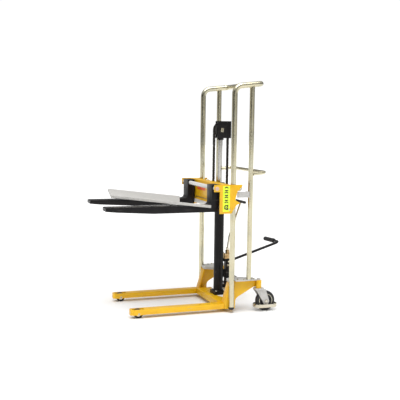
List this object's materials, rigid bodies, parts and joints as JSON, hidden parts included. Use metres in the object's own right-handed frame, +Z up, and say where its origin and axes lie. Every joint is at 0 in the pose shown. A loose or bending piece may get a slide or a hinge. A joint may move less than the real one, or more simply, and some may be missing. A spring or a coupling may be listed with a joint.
{
  "type": "walkie stacker",
  "caption": "Hand-pushed straddle stacker: a tubular mast with a foot-pumped chain lift raises a carriage with adjustable forks and a removable platform.",
  "frame": {"origin": "on the floor, under the middle of the truck's bounding box", "axes": "+Z up, +Y from the fork tips towards the operator, +X to the left of an operator who faces the forks"},
  "size_m": [0.6197, 1.2485, 1.4225],
  "materials": {
    "yellow_paint": "yellow enamel, semi-gloss",
    "black_paint": "black enamel, semi-gloss",
    "bright_zinc": "bright zinc plated steel tube and hardware",
    "chrome": "polished hard chrome",
    "sheet_steel": "light grey galvanised sheet",
    "brass": "dull yellow brass",
    "black_chain": "oiled dark leaf chain",
    "black_tyre": "black solid tread on a wheel core",
    "black_grip": "black moulded grip"
  },
  "bodies": {
    "frame": {"cross_member": "yellow_paint", "cylinder_base": "black_paint", "lift_cylinder": "black_paint", "cylinder_gland": "black_paint", "chain_anchor": "black_paint", "chain_rear": "black_chain", "pump_body": "black_paint", "pump_head": "brass", "top_handle": "bright_zinc", "push_handle": "bright_zinc", "leg_left": "yellow_paint", "gusset_left": "yellow_paint", "foot_plate_left": "sheet_steel", "mast_tube_left": "bright_zinc", "rear_tube_left": "bright_zinc", "caster_housing_left": "yellow_paint", "roller_axle_left": "bright_zinc", "leg_right": "yellow_paint", "gusset_right": "yellow_paint", "foot_plate_right": "sheet_steel", "mast_tube_right": "bright_zinc", "rear_tube_right": "bright_zinc", "caster_housing_right": "yellow_paint", "roller_axle_right": "bright_zinc"},
    "ram": {"ram_rod": "chrome", "pulley_yoke": "black_paint", "pulley_pin": "bright_zinc", "chain_crown": "black_chain"},
    "pulley": {"chain_pulley": "bright_zinc"},
    "carriage": {"carriage_frame": "yellow_paint", "fork_bar_upper": "chrome", "fork_bar_lower": "chrome", "chain_front": "black_chain", "side_plate_left": "yellow_paint", "side_plate_right": "yellow_paint", "guide_arm_left": "sheet_steel", "guide_arm_right": "sheet_steel"},
    "platform": {"platform": "sheet_steel"},
    "foot_pedal": {"foot_lever": "black_paint", "pedal_grip": "black_grip"},
    "plunger": {"pump_plunger": "chrome"},
    "release_lever": {"release_lever": "bright_zinc", "release_grip": "black_grip"},
    "fork_left": {"fork_left": "black_paint"},
    "load_roller_left": {"load_roller_left": "black_tyre"},
    "guide_roller_upper_left": {"guide_roller_upper_left": "bright_zinc"},
    "guide_roller_lower_left": {"guide_roller_lower_left": "bright_zinc"},
    "caster_left": {"caster_fork_left": "sheet_steel", "caster_axle_left": "bright_zinc", "toe_guard_left": "bright_zinc"},
    "caster_wheel_left": {"caster_wheel_left": "black_tyre"},
    "fork_right": {"fork_right": "black_paint"},
    "load_roller_right": {"load_roller_right": "black_tyre"},
    "guide_roller_upper_right": {"guide_roller_upper_right": "bright_zinc"},
    "guide_roller_lower_right": {"guide_roller_lower_right": "bright_zinc"},
    "caster_right": {"caster_fork_right": "sheet_steel", "caster_axle_right": "bright_zinc", "toe_guard_right": "bright_zinc"},
    "caster_wheel_right": {"caster_wheel_right": "black_tyre"}
  },
  "joints": [
    {"name": "ram_slide", "type": "slide", "parent": "frame", "child": "ram", "axis": [0, 0, 1], "range_m": [-0.252, 0.235], "deforming": ["chain_rear"]},
    {"name": "carriage_slide", "type": "slide", "parent": "ram", "child": "carriage", "axis": [0, 0, 1], "range_m": [-0.252, 0.235], "deforming": ["chain_front"]},
    {"name": "chain_pulley_spin", "type": "hinge", "parent": "ram", "child": "pulley", "pos_m": [0, 0.1826, 1.121], "axis": [1, 0, 0], "range_deg": [-345, 345]},
    {"name": "fork_shift_left", "type": "slide", "parent": "carriage", "child": "fork_left", "axis": [1, 0, 0], "range_m": [-0.12, 0]},
    {"name": "guide_roller_upper_left_spin", "type": "hinge", "parent": "carriage", "child": "guide_roller_upper_left", "pos_m": [0.276, 0.1965, 0.771], "axis": [1, 0, 0], "continuous": true},
    {"name": "guide_roller_lower_left_spin", "type": "hinge", "parent": "carriage", "child": "guide_roller_lower_left", "pos_m": [0.276, 0.1251, 0.645], "axis": [1, 0, 0], "continuous": true},
    {"name": "fork_shift_right", "type": "slide", "parent": "carriage", "child": "fork_right", "axis": [1, 0, 0], "range_m": [0, 0.12]},
    {"name": "guide_roller_upper_right_spin", "type": "hinge", "parent": "carriage", "child": "guide_roller_upper_right", "pos_m": [-0.276, 0.1965, 0.771], "axis": [1, 0, 0], "continuous": true},
    {"name": "guide_roller_lower_right_spin", "type": "hinge", "parent": "carriage", "child": "guide_roller_lower_right", "pos_m": [-0.276, 0.1251, 0.645], "axis": [1, 0, 0], "continuous": true},
    {"name": "platform_lift_off", "type": "slide", "parent": "carriage", "child": "platform", "axis": [0, 0, 1], "range_m": [0, 0.15]},
    {"name": "load_roller_left_spin", "type": "hinge", "parent": "frame", "child": "load_roller_left", "pos_m": [0.2245, -0.4192, 0.0275], "axis": [1, 0, 0], "continuous": true},
    {"name": "caster_left_swivel", "type": "hinge", "parent": "frame", "child": "caster_left", "pos_m": [0.27, 0.3448, 0.14], "axis": [0, 0, 1], "continuous": true},
    {"name": "caster_wheel_left_spin", "type": "hinge", "parent": "caster_left", "child": "caster_wheel_left", "pos_m": [0.27, 0.3898, 0.0625], "axis": [1, 0, 0], "continuous": true},
    {"name": "load_roller_right_spin", "type": "hinge", "parent": "frame", "child": "load_roller_right", "pos_m": [-0.2245, -0.4192, 0.0275], "axis": [1, 0, 0], "continuous": true},
    {"name": "caster_right_swivel", "type": "hinge", "parent": "frame", "child": "caster_right", "pos_m": [-0.27, 0.3448, 0.14], "axis": [0, 0, 1], "continuous": true},
    {"name": "caster_wheel_right_spin", "type": "hinge", "parent": "caster_right", "child": "caster_wheel_right", "pos_m": [-0.23553, 0.37373, 0.0625], "axis": [0.6428, -0.766, 0], "continuous": true},
    {"name": "foot_pedal_pump", "type": "hinge", "parent": "frame", "child": "foot_pedal", "pos_m": [0, 0.2403, 0.272], "axis": [1, 0, 0], "range_deg": [-30, 0], "stiffness_Nm_per_rad": 14, "springref_deg": 25.78},
    {"name": "plunger_stroke", "type": "slide", "parent": "frame", "child": "plunger", "axis": [0, 0, 1], "range_m": [-0.0118, 0]},
    {"name": "release_lever_tilt", "type": "hinge", "parent": "frame", "child": "release_lever", "pos_m": [0, 0.2403, 0.345], "axis": [1, 0, 0], "range_deg": [-14, 0], "stiffness_Nm_per_rad": 4, "springref_deg": 22.92}
  ],
  "couplings": [
    {"joint": "carriage_slide", "follows": "ram_slide", "ratio": 1},
    {"joint": "chain_pulley_spin", "follows": "ram_slide", "rad_per_m": -21.505},
    {"joint": "guide_roller_upper_left_spin", "follows": "ram_slide", "rad_per_m": 114.29},
    {"joint": "guide_roller_lower_left_spin", "follows": "ram_slide", "rad_per_m": -114.29},
    {"joint": "guide_roller_upper_right_spin", "follows": "ram_slide", "rad_per_m": 114.29},
    {"joint": "guide_roller_lower_right_spin", "follows": "ram_slide", "rad_per_m": -114.29},
    {"joint": "plunger_stroke", "follows": "foot_pedal_pump", "m_per_rad": 0.022}
  ]
}
